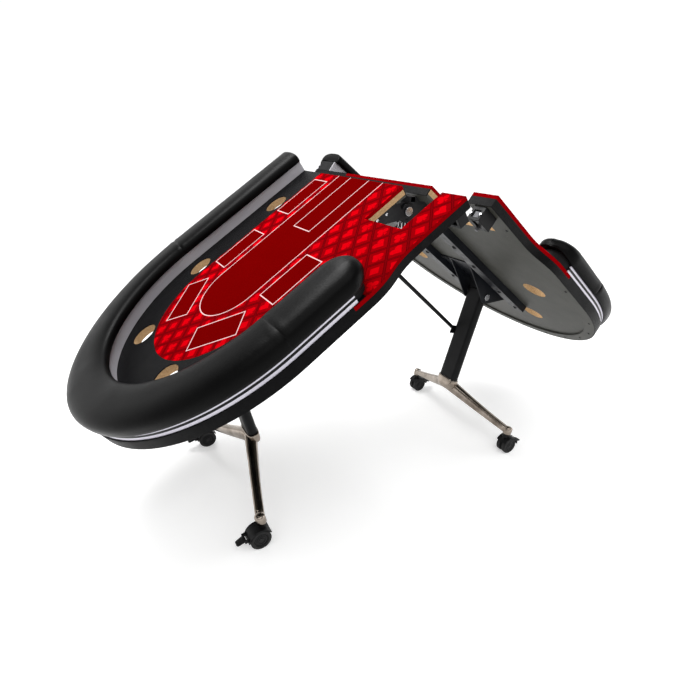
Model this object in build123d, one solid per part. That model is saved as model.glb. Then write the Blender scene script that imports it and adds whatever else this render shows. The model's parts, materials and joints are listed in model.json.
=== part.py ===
from build123d import *

import math
import os

# Folding casino poker table: two mirror-image halves on a central hinge carriage,
# each carried by one column leg with a chevron foot and two twin-wheel casters.
# Millimetres and degrees. +X runs along the table, +Y is the players' side,
# -Y the dealer's side, +Z up. The origin is on the floor under the hinge.
#
# A half is modelled flat in its own frame: x is the distance from the mating face,
# y is across the table, and z = 0 is the playing surface.
# A leg is modelled upright in its own frame: its pivot is the origin, x is outward.

# ---- Pose in which the table is modelled ----
TILT = 35.5                 # slope of each half below horizontal
LEG_LEAN = 14.5             # lean of each leg, foot towards the middle

# ---- Plan of a half ----
MATE_GAP = 0.5              # each mating face stands this far from the middle plane
END_CENTRE = 625.0          # centre of the round end, from the mating face
BASE_RADIUS = 587.0         # outside of the black edge band
BAND_THICK = 3.0
DEALER_EDGE = 550.0         # the dealer's recess is nearer than the full radius
RECESS_START = 205.0
RECESS_END = 395.0
FELT_RADIUS = 303.0
DEALER_CLOTH_END = 400.0
DEALER_WRAP_END = 445.0
TRAY_DEPTH = 167.0          # chip tray cut-out, per half
TRAY_FAR = 259.0
TRAY_NEAR = 451.0

# ---- Layers, from the playing surface down ----
CLOTH_THICK = 3.0
PLAYFIELD_BOTTOM = -12.0    # the cloth is turned down over the edges as far as this
BASE_BOTTOM = -30.0
FRAME_BOTTOM = -38.0        # stiffening frame round the edge, under the base board
FRAME_WIDTH = 45.0

# ---- Rail ----
LIGHT_INNER = 457.0         # face of the inner light diffuser
LIGHT_THICK = 8.0
RISER_TOP = 44.0
RISER_OUTER = 577.0
STRIP_OUTER = 582.0
STRIP_WIDE_TOP = 10.0
STRIP_DARK_TOP = 18.0
STRIP_NARROW_TOP = 26.0
PAD_INNER = 441.0
PAD_OUTER = 595.0
PAD_TOP = 89.0
RAIL_NOSE = 425.0           # centre of the rounded rail nose on the dealer's side

# ---- Round openings for drop-in cup holders ----
CUP_HOLE = 48.0
CUP_PLACES = ((216.0, 363.0), (618.0, 363.0), (937.0, 186.0), (937.0, -186.0), (618.0, -363.0))

# ---- Centre hinge ----
HINGE_DEPTH = 105.0         # hinge axis below the playing surface
HINGE_Y = 200.0
DISC_RADIUS = 40.0
DISC_THICK = 24.0
LEAF_THICK = 8.0
LEAF_RADIUS = 25.0
HINGE_PIN = 9.0
SPINE_SIZE = 20.0
SPINE_HEIGHT = 40.0         # spine centre above the hinge axis
HOOK_WIRE = 2.5
RUN = 0.05                  # radial running clearance

# ---- Beams under each half ----
BEAM_Y = 150.0
BEAM_WIDE = 55.0
BEAM_DEEP = 30.0
BEAM_WALL = 2.5
BEAM_START = 48.0
BEAM_END = 885.0

# ---- Leg ----
LEG_AT = 750.0              # leg pivot, from the mating face
LEG_PIVOT_BELOW = 88.0      # leg pivot below the playing surface
COLUMN_LONG = 430.0         # pivot to the bottom of the column
COLUMN_WIDE = 107.0
COLUMN_THICK = 40.0
COLUMN_WALL = 3.0
LEG_PIN = 10.0
FOOT_DROP = 116.0
FOOT_OUT = 120.0
FOOT_SPREAD = 336.0
STEM_BOSS = 18.0

# ---- Slide-bolt latch under the dealer's arm ----
LATCH_Y = -505.0
LATCH_TOP = FRAME_BOTTOM

# ---- Casters ----
CASTER_HIGH = 90.0
WHEEL_RADIUS = 37.5
WHEEL_TRAIL = 25.0
WHEEL_WIDE = 19.0
WEB_HALF = 5.0
AXLE = 5.0

# ---- Struts: from a leg to the opposite half ----
STRUT_Y = 67.0
STRUT_RADIUS = 9.0
STRUT_ON_LEG = 200.0        # pivot on the column, below the leg pivot
STRUT_LUG_BELOW = 65.0      # pivot on the half, below the playing surface
STRUT_PIN = 6.0
EYE_RADIUS = 13.0
EYE_THICK = 14.0


def leg_pivot():
    """Leg pivot in the XZ plane, from the hinge axis, on the +X half."""
    a = math.radians(TILT)
    up = HINGE_DEPTH - LEG_PIVOT_BELOW
    return LEG_AT * math.cos(a) + up * math.sin(a), up * math.cos(a) - LEG_AT * math.sin(a)


def strut_foot():
    """Strut pivot on the column, from the hinge axis, on the +X side."""
    lean = math.radians(LEG_LEAN)
    x, z = leg_pivot()
    return x - STRUT_ON_LEG * math.sin(lean), z - STRUT_ON_LEG * math.cos(lean)


def strut_lug_place():
    """Distance of the strut's lug from the mating face.

    The strut has one length, so it must fit both with the table flat, legs square to
    the top, and in the modelled pose. Both conditions hold at one distance.
    """
    a = math.radians(TILT)
    rise = HINGE_DEPTH - STRUT_LUG_BELOW
    x, z = strut_foot()
    px = x + rise * math.sin(a)
    pz = z - rise * math.cos(a)
    flat_drop = STRUT_ON_LEG - (HINGE_DEPTH - LEG_PIVOT_BELOW) + rise
    tilted = px ** 2 + pz ** 2 - LEG_AT ** 2 - flat_drop ** 2
    return tilted / (2 * LEG_AT - 2 * px * math.cos(a) - 2 * pz * math.sin(a))


STRUT_LUG_AT = strut_lug_place()
WHEEL_DROP = COLUMN_LONG + FOOT_DROP + STEM_BOSS + CASTER_HIGH - WHEEL_RADIUS
WHEEL_OUT = FOOT_OUT + WHEEL_TRAIL
LEAN_RAD = math.radians(LEG_LEAN)
PIVOT_HEIGHT = WHEEL_DROP * math.cos(LEAN_RAD) + WHEEL_OUT * math.sin(LEAN_RAD) + WHEEL_RADIUS
HINGE_HEIGHT = PIVOT_HEIGHT - leg_pivot()[1]


# ---------------------------------------------------------------- helpers

def half_frame(shape):
    """Places a flat-modelled shape on the +X half."""
    tilted = Location((0, 0, HINGE_HEIGHT), (0, TILT, 0))
    return tilted * Location((0, 0, HINGE_DEPTH)) * shape


def leg_frame(shape):
    """Places an upright-modelled leg shape under the +X half."""
    x, z = leg_pivot()
    return Location((x, 0, HINGE_HEIGHT + z), (0, LEG_LEAN, 0)) * shape


def mirrored(shape):
    """The same shape on the other half."""
    return mirror(shape, about=Plane.YZ)


def turned(shape):
    """The same shape turned half round about the vertical middle axis."""
    return Location((0, 0, 0), (0, 0, 180)) * shape


def save(name, shape):
    """Writes one sub-part as a compound of its separate solids."""
    solids = shape.solids()
    body = solids[0] if len(solids) == 1 else Compound(children=solids)
    export_step(body, f"parts/{name}.step")


def save_pair(name, shape, other=mirrored):
    save(f"right_{name}", shape)
    save(f"left_{name}", other(shape))


def block(x0, x1, y0, y1, z0, z1):
    """A box given by its limits."""
    centre = Location(((x0 + x1) / 2, (y0 + y1) / 2, (z0 + z1) / 2))
    return centre * Box(x1 - x0, y1 - y0, z1 - z0)


def rod_y(radius, x, z, y0, y1):
    """A cylinder along Y."""
    centre = Location((x, (y0 + y1) / 2, z), (90, 0, 0))
    return centre * Cylinder(radius, y1 - y0)


def rod_z(radius, x, y, z0, z1):
    """A vertical cylinder."""
    return Location((x, y, (z0 + z1) / 2)) * Cylinder(radius, z1 - z0)


def slab(face, z0, z1):
    """A plan face, given as a sketch at z = 0, made into a layer."""
    return Location((0, 0, z0)) * extrude(face, z1 - z0)


def plate_y(points, y0, y1):
    """A flat plate in the XZ plane with a straight-sided outline."""
    outline = [Vector(x, y0, z) for x, z in points]
    face = make_face(Polyline(*outline, close=True))
    return extrude(face, amount=y1 - y0, dir=(0, 1, 0))


# ---------------------------------------------------------------- plan outlines

def recess_curve(dealer, radius):
    """The S-curve between the dealer's recess and the full width, as two arcs."""
    long = RECESS_END - RECESS_START
    rise = radius - dealer
    bend = (long ** 2 + rise ** 2) / (4 * rise)
    half = math.asin(long / 2 / bend) / 2
    middle = ((RECESS_START + RECESS_END) / 2, -(dealer + rise / 2))
    dx = bend * math.sin(half)
    dy = bend * (1 - math.cos(half))
    outer = ThreePointArc((RECESS_END, -radius), (RECESS_END - dx, dy - radius), middle)
    inner = ThreePointArc(middle, (RECESS_START + dx, -dealer - dy), (RECESS_START, -dealer))
    return outer + inner


def plan(inset=0.0):
    """Outline of a half, inset from the outside of the edge band."""
    r = BASE_RADIUS - inset
    d = DEALER_EDGE - inset
    x0 = MATE_GAP + inset
    edges = Line((x0, r), (END_CENTRE, r))
    edges += ThreePointArc((END_CENTRE, r), (END_CENTRE + r, 0), (END_CENTRE, -r))
    edges += Line((END_CENTRE, -r), (RECESS_END, -r))
    edges += recess_curve(d, r)
    edges += Line((RECESS_START, -d), (x0, -d))
    edges += Line((x0, -d), (x0, r))
    return make_face(edges)


def stadium(radius, start=MATE_GAP):
    """A straight-sided round end of one radius."""
    edges = Line((start, radius), (END_CENTRE, radius))
    edges += ThreePointArc((END_CENTRE, radius), (END_CENTRE + radius, 0), (END_CENTRE, -radius))
    edges += Line((END_CENTRE, -radius), (start, -radius))
    edges += Line((start, -radius), (start, radius))
    return make_face(edges)


def cloth_plan():
    """The red cloth: the playing area, and the whole width in front of the dealer."""
    dealer = Location((DEALER_CLOTH_END / 2, -BASE_RADIUS / 2)) * Rectangle(DEALER_CLOTH_END, BASE_RADIUS)
    return stadium(FELT_RADIUS) + (dealer & plan())


def edge_strip(z0, z1):
    """The skin round the whole edge of a half, mating face included."""
    return slab(plan(), z0, z1) - slab(plan(BAND_THICK), z0 - 1, z1 + 1)


def tray_cut(margin=0.0):
    return block(-1, TRAY_DEPTH + margin, -TRAY_NEAR - margin, -TRAY_FAR + margin, FRAME_BOTTOM - 5, 5)


def cup_cuts():
    return [rod_z(CUP_HOLE, x, y, FRAME_BOTTOM, 1) for x, y in CUP_PLACES]


# ---------------------------------------------------------------- table top layers

def under_frame():
    """Stiffening frame along the edge and the mating face, under the base board."""
    ring = slab(plan(BAND_THICK), FRAME_BOTTOM, BASE_BOTTOM)
    return ring - slab(plan(FRAME_WIDTH), FRAME_BOTTOM - 1, BASE_BOTTOM + 1) - tray_cut()


def base_board():
    board = slab(plan(BAND_THICK), BASE_BOTTOM, PLAYFIELD_BOTTOM) - tray_cut()
    return board - cup_cuts()


def playfield_board():
    board = slab(plan(BAND_THICK), PLAYFIELD_BOTTOM, -CLOTH_THICK) - tray_cut(CLOTH_THICK)
    return board - cup_cuts()


def turned_down():
    """Cloth turned down over the dealer's edge and the mating face."""
    strip = edge_strip(PLAYFIELD_BOTTOM, 0)
    dealer = block(0, DEALER_WRAP_END, -BASE_RADIUS, 0, PLAYFIELD_BOTTOM, 0)
    mating = block(0, MATE_GAP + BAND_THICK, 0, FELT_RADIUS, PLAYFIELD_BOTTOM, 0)
    return (strip & dealer) + (strip & mating)


def tray_lining():
    """Cloth turned down inside the chip tray cut-out."""
    return block(MATE_GAP, TRAY_DEPTH + CLOTH_THICK, -TRAY_NEAR - CLOTH_THICK, -TRAY_FAR + CLOTH_THICK,
                 PLAYFIELD_BOTTOM, 0)


def playing_cloth():
    sheet = slab(cloth_plan(), -CLOTH_THICK, 0) + turned_down() + tray_lining()
    return sheet - tray_cut()


def racetrack():
    ring = slab(plan(), -CLOTH_THICK, 0) - slab(cloth_plan(), -CLOTH_THICK - 1, 1)
    return ring - turned_down() - cup_cuts()


def edge_band():
    """Vinyl skin round the edge, under the racetrack and under the turned-down cloth."""
    band = edge_strip(FRAME_BOTTOM, -CLOTH_THICK)
    return band - turned_down() - tray_lining() - tray_cut()


# ---------------------------------------------------------------- rail

def profile(points):
    """A rail cross-section: distance from the end centre, and height."""
    return make_face(Polyline(*[Vector(0, r, z) for r, z in points], close=True))


def ring(points):
    """A cross-section run along the players' side, round the end and to the nose."""
    section = profile(points)
    far = Location((MATE_GAP, 0, 0)) * extrude(section, END_CENTRE - MATE_GAP, dir=(1, 0, 0))
    at_end = Location((END_CENTRE, 0, 0)) * section
    end = revolve(at_end, Axis((END_CENTRE, 0, 0), (0, 0, -1)), 180)
    near = mirror(section, about=Plane.XZ)
    near = Location((RAIL_NOSE, 0, 0)) * extrude(near, END_CENTRE - RAIL_NOSE, dir=(1, 0, 0))
    return far + end + near


def strip_points(r0, r1, z0, z1):
    return [(r0, z0), (r1, z0), (r1, z1), (r0, z1)]


def nose(radius, z0, z1):
    """Half-round end of a rail layer."""
    middle = -(PAD_INNER + PAD_OUTER) / 2
    disc = rod_z(radius, RAIL_NOSE, middle, z0, z1)
    return disc & block(RAIL_NOSE - 2 * radius, RAIL_NOSE, -BASE_RADIUS - 50, 0, z0, z1)


def riser():
    body = ring(strip_points(LIGHT_INNER + LIGHT_THICK, RISER_OUTER, 0, RISER_TOP))
    return body + nose((RISER_OUTER - LIGHT_INNER - LIGHT_THICK) / 2, 0, RISER_TOP)


def inner_light():
    return ring(strip_points(LIGHT_INNER, LIGHT_INNER + LIGHT_THICK, 0, RISER_TOP))


def outer_lights():
    """The wide and the narrow light strip round the outside of the riser."""
    wide = ring(strip_points(RISER_OUTER, STRIP_OUTER, 0, STRIP_WIDE_TOP))
    narrow = ring(strip_points(RISER_OUTER, STRIP_OUTER, STRIP_DARK_TOP, STRIP_NARROW_TOP))
    return Compound(children=[wide, narrow])


def outer_dark_strip():
    return ring(strip_points(RISER_OUTER, STRIP_OUTER, STRIP_WIDE_TOP, STRIP_DARK_TOP))


def rail_pad():
    """The padded armrest: a crowned section that laps down over the riser's outside."""
    points = [
        (PAD_INNER, RISER_TOP), (PAD_INNER - 1, RISER_TOP + 14), (PAD_INNER + 10, RISER_TOP + 31),
        (PAD_INNER + 40, PAD_TOP - 4), ((PAD_INNER + PAD_OUTER) / 2, PAD_TOP), (PAD_OUTER - 38, PAD_TOP - 5),
        (PAD_OUTER - 9, PAD_TOP - 22), (PAD_OUTER, PAD_TOP - 40), (PAD_OUTER - 4, STRIP_NARROW_TOP),
        (RISER_OUTER, STRIP_NARROW_TOP), (RISER_OUTER, RISER_TOP),
    ]
    middle = (PAD_INNER + PAD_OUTER) / 2
    half = (PAD_OUTER - PAD_INNER) / 2
    cap_points = [
        (0, RISER_TOP), (half - 1, RISER_TOP), (half, RISER_TOP + 14),
        (half - 10, RISER_TOP + 31), (half - 40, PAD_TOP - 4), (0, PAD_TOP),
    ]
    outline = [Vector(RAIL_NOSE, -middle - r, z) for r, z in cap_points]
    cap_face = make_face(Polyline(*outline, close=True))
    cap = revolve(cap_face, Axis((RAIL_NOSE, -middle, 0), (0, 0, -1)), 180)
    return ring(points) + cap


# ---------------------------------------------------------------- centre hinge

def hinge_spine():
    """Square tube tying the hinge discs together, above the axis and under the top."""
    reach = HINGE_Y + DISC_THICK / 2 + 30
    height = HINGE_HEIGHT + SPINE_HEIGHT
    side = SPINE_SIZE / 2
    tube = block(-side, side, -reach, reach, height - side, height + side)
    bore = block(-side + 2, side - 2, -reach - 1, reach + 1, height - side + 2, height + side - 2)
    return tube - bore


def hinge_disc(y):
    """Round hinge housing with stepped rings and a neck up to the spine."""
    half = DISC_THICK / 2
    z = HINGE_HEIGHT
    disc = rod_y(DISC_RADIUS, 0, z, y - half, y + half)
    neck = block(-9, 9, y - half, y + half, z, z + SPINE_HEIGHT - SPINE_SIZE / 2)
    groove = rod_y(30, 0, z, y - half - 1, y - half + 3) - rod_y(24, 0, z, y - half - 2, y - half + 4)
    disc = disc & block(-DISC_RADIUS, DISC_RADIUS, y - half, y + half, z - DISC_RADIUS, z + 29)
    return disc + neck - groove - rod_y(HINGE_PIN, 0, z, y - half - 1, y + half + 1)


def hinge_pin(y):
    reach = DISC_THICK / 2 + LEAF_THICK + 3
    z = HINGE_HEIGHT
    pin = rod_y(HINGE_PIN, 0, z, y - reach, y + reach)
    heads = [rod_y(15, 0, z, y - reach - 5, y - reach), rod_y(15, 0, z, y + reach, y + reach + 5)]
    return pin + heads


def hinge_leaf(y0, y1):
    """Leaf of the +X half, in its flat frame: an eye on the axis and an arm to the beam."""
    z = -HINGE_DEPTH
    eye = rod_y(LEAF_RADIUS, 0, z, y0, y1)
    edge = FRAME_WIDTH + 1
    top = [(200, BASE_BOTTOM), (edge, BASE_BOTTOM), (edge, FRAME_BOTTOM), (18, FRAME_BOTTOM)]
    arm = plate_y([(6, z - 24), (120, z + 32)] + top + [(18, z + 18), (0, z + 18)], y0, y1)
    return eye + arm - rod_y(HINGE_PIN + RUN, 0, z, y0 - 1, y1 + 1)


def hinge_leaves(side):
    """Both leaves of a half. The +X half's lie on the +Y side of the discs."""
    gap = DISC_THICK / 2 + 0.5
    leaves = []
    for y in (-HINGE_Y, HINGE_Y):
        inner = y + gap if side > 0 else y - gap - LEAF_THICK
        leaves.append(hinge_leaf(inner, inner + LEAF_THICK))
    return Compound(children=leaves)


# ---------------------------------------------------------------- under each half

def beams():
    """Two rectangular tubes lengthwise under the base board."""
    tubes = []
    for y in (-BEAM_Y, BEAM_Y):
        half = BEAM_WIDE / 2
        tube = block(BEAM_START, BEAM_END, y - half, y + half, BASE_BOTTOM - BEAM_DEEP, BASE_BOTTOM)
        hollow = block(BEAM_START - 1, BEAM_END + 1, y - half + BEAM_WALL, y + half - BEAM_WALL,
                       BASE_BOTTOM - BEAM_DEEP + BEAM_WALL, BASE_BOTTOM - BEAM_WALL)
        tubes.append(tube - hollow)
    return Compound(children=tubes)


def leg_cheek(y0, y1):
    """Side plate of the leg bracket, with a long curved lower edge."""
    z = -LEG_PIVOT_BELOW
    top = BASE_BOTTOM - 5
    edges = Line((LEG_AT - 210, top), (LEG_AT + 120, top))
    edges += Line((LEG_AT + 120, top), (LEG_AT + 26, z - 22))
    edges += ThreePointArc((LEG_AT + 26, z - 22), (LEG_AT, z - 32), (LEG_AT - 26, z - 22))
    edges += ThreePointArc((LEG_AT - 26, z - 22), (LEG_AT - 105, z + 12), (LEG_AT - 210, top))
    upright = Plane(origin=(0, y0, 0), x_dir=(1, 0, 0), z_dir=(0, -1, 0))
    cheek = extrude(upright * make_face(edges), amount=y1 - y0, dir=(0, 1, 0))
    return cheek - rod_y(LEG_PIN, LEG_AT, z, y0 - 1, y1 + 1)


def leg_bracket():
    half = BEAM_Y - BEAM_WIDE / 2
    plate = block(LEG_AT - 215, LEG_AT + 125, -half, half, BASE_BOTTOM - 5, BASE_BOTTOM)
    inner = COLUMN_WIDE / 2 + 2.5
    return plate + leg_cheek(inner, inner + 6) + leg_cheek(-inner - 6, -inner)


def leg_pin():
    reach = COLUMN_WIDE / 2 + 8.5
    z = -LEG_PIVOT_BELOW
    pin = rod_y(LEG_PIN, LEG_AT, z, -reach, reach)
    return pin + rod_y(15, LEG_AT, z, -reach - 5, -reach) + rod_y(15, LEG_AT, z, reach, reach + 5)


def strut_lug(y):
    """Fork under a half that carries the upper end of the other leg's strut."""
    half = EYE_THICK / 2 + 0.6
    x = STRUT_LUG_AT
    z = -STRUT_LUG_BELOW
    plate = block(x - 22, x + 22, y - half - 10, y + half + 10, BASE_BOTTOM - 4, BASE_BOTTOM)
    ears = []
    for y0 in (y - half - 4, y + half):
        ear = block(x - 12, x + 12, y0, y0 + 4, z, BASE_BOTTOM - 4)
        ears.append(ear + rod_y(12, x, z, y0, y0 + 4))
    return plate + ears + rod_y(STRUT_PIN, x, z, y - half - 4, y + half + 4)


# ---------------------------------------------------------------- leg

def oval(long, thick, z0, z1):
    """Flat-oval bar, long across the table."""
    face = Location((0, 0, 0), (0, 0, 90)) * SlotOverall(long, thick)
    return slab(face, z0, z1)


def column():
    head = COLUMN_THICK / 2
    shell = oval(COLUMN_WIDE, COLUMN_THICK, -COLUMN_LONG, head)
    hollow = oval(COLUMN_WIDE - 2 * COLUMN_WALL, COLUMN_THICK - 2 * COLUMN_WALL, -COLUMN_LONG - 1, -34)
    return shell - hollow - rod_y(LEG_PIN + RUN, 0, 0, -COLUMN_WIDE, COLUMN_WIDE)


def knuckle():
    """Plate bracket on the side of the column where the strut ends."""
    side = COLUMN_WIDE / 2
    plate = block(-34, 14, side, side + 3, -STRUT_ON_LEG - 20, -STRUT_ON_LEG + 20)
    return plate + rod_y(11, 0, -STRUT_ON_LEG, side, side + 4)


def foot_arm(side):
    """One arm of the foot: a tapering bar out and down to the caster boss."""
    stations = ((0, 2, -COLUMN_LONG - 30, 27, 30), (150, 52, -COLUMN_LONG - 70, 23, 25),
                (FOOT_SPREAD, FOOT_OUT, -COLUMN_LONG - FOOT_DROP, 17, 17))
    sections = []
    for y, x, z, wide, deep in stations:
        corners = [(x - wide, z - deep), (x + wide, z - deep), (x + wide, z + deep), (x - wide, z + deep)]
        sections.append(make_face(Polyline(*[Vector(cx, side * y, cz) for cx, cz in corners], close=True)))
    return loft(sections[:2], ruled=True) + loft(sections[1:], ruled=True)


def foot():
    body = foot_arm(1) + foot_arm(-1)
    bottom = -COLUMN_LONG - FOOT_DROP
    for side in (-1, 1):
        body += rod_z(19, FOOT_OUT, side * FOOT_SPREAD, bottom - STEM_BOSS, bottom + 17)
    hub = oval(COLUMN_WIDE + 10, COLUMN_THICK + 10, -COLUMN_LONG - 40, -COLUMN_LONG)
    return body + hub


def strut():
    """Tube with a flat eye at each end, in the modelled pose, on the players' side."""
    x0, z0 = strut_foot()
    a = math.radians(TILT)
    rise = HINGE_DEPTH - STRUT_LUG_BELOW
    x1 = -STRUT_LUG_AT * math.cos(a) - rise * math.sin(a)
    z1 = -STRUT_LUG_AT * math.sin(a) + rise * math.cos(a)
    low = Vector(x0, STRUT_Y, z0 + HINGE_HEIGHT)
    high = Vector(x1, STRUT_Y, z1 + HINGE_HEIGHT)
    along = (high - low).normalized()
    start = low + along * (EYE_RADIUS - 3)
    long = (high - low).length - 2 * (EYE_RADIUS - 3)
    tube = extrude(Plane(origin=start, z_dir=along) * Circle(STRUT_RADIUS), long)
    half = EYE_THICK / 2
    tube &= block(-2000, 2000, STRUT_Y - STRUT_RADIUS, STRUT_Y + STRUT_RADIUS, 0, 2000)
    eyes = [rod_y(EYE_RADIUS, p.X, p.Z, STRUT_Y - half, STRUT_Y + half) for p in (low, high)]
    bolt = rod_y(8, low.X, low.Z, STRUT_Y + half, STRUT_Y + half + 5)
    body = tube + eyes + bolt
    clear = rod_y(STRUT_PIN + RUN, high.X, high.Z, STRUT_Y - 20, STRUT_Y + 20)
    slot = EYE_THICK / 2
    around = rod_y(EYE_RADIUS + 6, high.X, high.Z, STRUT_Y + slot, STRUT_Y + 20)
    around += rod_y(EYE_RADIUS + 6, high.X, high.Z, STRUT_Y - 20, STRUT_Y - slot)
    return body - clear - around


# ---------------------------------------------------------------- casters

def caster_frame(shape, side):
    """Places a caster, modelled with its wheel centre at the origin, on a leg."""
    return leg_frame(Location((WHEEL_OUT, side * FOOT_SPREAD, -WHEEL_DROP)) * shape)


def caster_housing():
    """Web between the wheels, hood over them and the swivel post."""
    top = CASTER_HIGH - WHEEL_RADIUS
    wide = WEB_HALF + 1 + WHEEL_WIDE + 2
    web = rod_y(30, 0, 0, -WEB_HALF, WEB_HALF) + block(-30, 0, -WEB_HALF, WEB_HALF, 0, top - 10)
    hood = rod_y(45, 0, 0, -wide, wide) - rod_y(41, 0, 0, -wide - 1, wide + 1)
    hood = hood & block(-46, 46, -wide - 1, wide + 1, 14, 46)
    post = rod_z(14, -WHEEL_TRAIL, 0, top - 16, top)
    bridge = block(-40, -6, -WEB_HALF, WEB_HALF, 30, top - 8)
    lugs = [block(34, 52, y, y + 3, 18, 32) for y in (-19, 16)]
    body = web + hood + post + bridge + lugs
    body -= rod_y(41, 0, 0, -wide - 1, -WEB_HALF) + rod_y(41, 0, 0, WEB_HALF, wide + 1)
    body -= rod_y(AXLE + RUN, 0, 0, -WEB_HALF - 1, WEB_HALF + 1)
    return body - rod_y(2.5 + RUN, 47, 25, -20, 20)


def caster_wheels():
    """Twin wheels on their axle."""
    inner = WEB_HALF + 1
    body = rod_y(AXLE, 0, 0, -inner - 2, inner + 2)
    for side in (-1, 1):
        rim = side * (inner + WHEEL_WIDE)
        wheel = rod_y(WHEEL_RADIUS, 0, 0, min(side * inner, rim), max(side * inner, rim))
        dish = rod_y(26, 0, 0, rim - 3, rim + 3) - rod_y(9, 0, 0, rim - 4, rim + 4)
        body += chamfer(wheel.edges().filter_by(GeomType.CIRCLE), 2.5) - dish
    return body


def brake_pedal():
    """Foot pedal behind the hood, on its own cross pin."""
    pin = rod_y(2.5, 47, 25, -19, 19)
    tread = block(50, 80, -15.5, 15.5, 22.5, 27)
    return pin + rod_y(5, 47, 25, -15.5, 15.5) + tread


# ---------------------------------------------------------------- latches

def latch_case():
    """Slide-bolt case under the right dealer arm, beside the mating face."""
    case = block(6, 66, LATCH_Y - 25, LATCH_Y + 25, LATCH_TOP - 46, LATCH_TOP)
    channel = block(0, 80, LATCH_Y - 13, LATCH_Y + 13, LATCH_TOP - 36, LATCH_TOP - 14)
    thumb_slot = block(12, 50, LATCH_Y - 7, LATCH_Y + 7, LATCH_TOP - 50, LATCH_TOP - 34)
    return case - channel - thumb_slot


def latch_bolt():
    bar = block(10, 62, LATCH_Y - 12, LATCH_Y + 12, LATCH_TOP - 35, LATCH_TOP - 15)
    return bar + rod_z(6, 42, LATCH_Y, LATCH_TOP - 60, LATCH_TOP - 34)


def latch_keeper():
    keeper = block(6, 40, LATCH_Y - 25, LATCH_Y + 25, LATCH_TOP - 46, LATCH_TOP)
    return keeper - block(0, 80, LATCH_Y - 14, LATCH_Y + 14, LATCH_TOP - 37, LATCH_TOP - 13)


def latch_screws():
    """Two bright screw heads on the mating end of the case."""
    heads = []
    for y in (LATCH_Y - 19, LATCH_Y + 19):
        heads.append(Location((4.5, y, LATCH_TOP - 25), (0, 90, 0)) * Cylinder(4, 3))
    return Compound(children=heads)


def hinge_hooks():
    """Bright wire loops hanging under the hinge discs, two to a disc."""
    z = HINGE_HEIGHT - DISC_RADIUS
    loops = []
    for y in (-HINGE_Y, HINGE_Y):
        for x in (-14, 14):
            corners = [(x, y - 9, z + 1), (x, y - 9, z - 20), (x, y + 9, z - 20), (x, y + 9, z + 1)]
            path = FilletPolyline(*corners, radius=7)
            loops.append(sweep(Plane(origin=path @ 0, z_dir=path % 0) * Circle(HOOK_WIRE), path=path))
    return Compound(children=loops)


# ---------------------------------------------------------------- assembly

def save_top():
    save_pair("under_frame", half_frame(under_frame()))
    save_pair("base_board", half_frame(base_board()))
    save_pair("playfield_board", half_frame(playfield_board()))
    save_pair("playing_cloth", half_frame(playing_cloth()))
    save_pair("racetrack", half_frame(racetrack()))
    save_pair("edge_band", half_frame(edge_band()))
    save_pair("riser", half_frame(riser()))
    save_pair("inner_light", half_frame(inner_light()))
    save_pair("outer_lights", half_frame(outer_lights()))
    save_pair("outer_dark_strip", half_frame(outer_dark_strip()))
    save_pair("rail_pad", half_frame(rail_pad()))


def save_hinge():
    save("hinge_spine", hinge_spine())
    save("hinge_discs", Compound(children=[hinge_disc(y) for y in (-HINGE_Y, HINGE_Y)]))
    save("hinge_hooks", hinge_hooks())
    save("hinge_pins", Compound(children=[hinge_pin(y) for y in (-HINGE_Y, HINGE_Y)]))
    save("right_hinge_leaves", half_frame(hinge_leaves(1)))
    save("left_hinge_leaves", mirrored(half_frame(hinge_leaves(-1))))


def save_under():
    save_pair("beams", half_frame(beams()))
    save_pair("leg_bracket", half_frame(leg_bracket()))
    save_pair("leg_pin", half_frame(leg_pin()))
    save_pair("strut_lug", half_frame(strut_lug(-STRUT_Y)), turned)


def save_legs():
    save_pair("column", leg_frame(column()))
    save_pair("foot", leg_frame(foot()))
    save_pair("knuckle", leg_frame(knuckle()), turned)
    save_pair("strut", strut(), turned)
    for place, side in (("near", -1), ("far", 1)):
        save_pair(f"{place}_caster_housing", caster_frame(caster_housing(), side))
        save_pair(f"{place}_caster_wheels", caster_frame(caster_wheels(), side))
        save_pair(f"{place}_brake_pedal", caster_frame(brake_pedal(), side))


def save_latches():
    save("latch_case", half_frame(latch_case()))
    save("latch_screws", half_frame(latch_screws()))
    save("latch_bolt", half_frame(latch_bolt()))
    save("latch_keeper", mirrored(half_frame(latch_keeper())))


os.makedirs("parts", exist_ok=True)
save_top()
save_hinge()
save_under()
save_legs()
save_latches()
print("hinge height", round(HINGE_HEIGHT, 2), "leg pivot", [round(v, 2) for v in leg_pivot()])
print("strut lug at", round(STRUT_LUG_AT, 2), "strut foot", [round(v, 2) for v in strut_foot()])
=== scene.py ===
import json
import math

import bmesh
import bpy
from mathutils import Matrix, Vector, noise


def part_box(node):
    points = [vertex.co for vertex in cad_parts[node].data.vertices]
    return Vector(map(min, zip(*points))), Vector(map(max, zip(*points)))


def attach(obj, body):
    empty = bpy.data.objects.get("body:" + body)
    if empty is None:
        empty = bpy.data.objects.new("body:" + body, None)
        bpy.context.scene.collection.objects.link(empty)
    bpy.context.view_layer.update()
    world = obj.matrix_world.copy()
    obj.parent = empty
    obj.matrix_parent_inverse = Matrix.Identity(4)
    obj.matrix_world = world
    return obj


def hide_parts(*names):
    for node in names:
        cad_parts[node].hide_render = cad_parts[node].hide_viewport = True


# Folding casino poker table, seen with its two halves folded down from the middle.
# Metres. u runs along a half from its mating face, v across it towards the players,
# n up from the playing surface.

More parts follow.
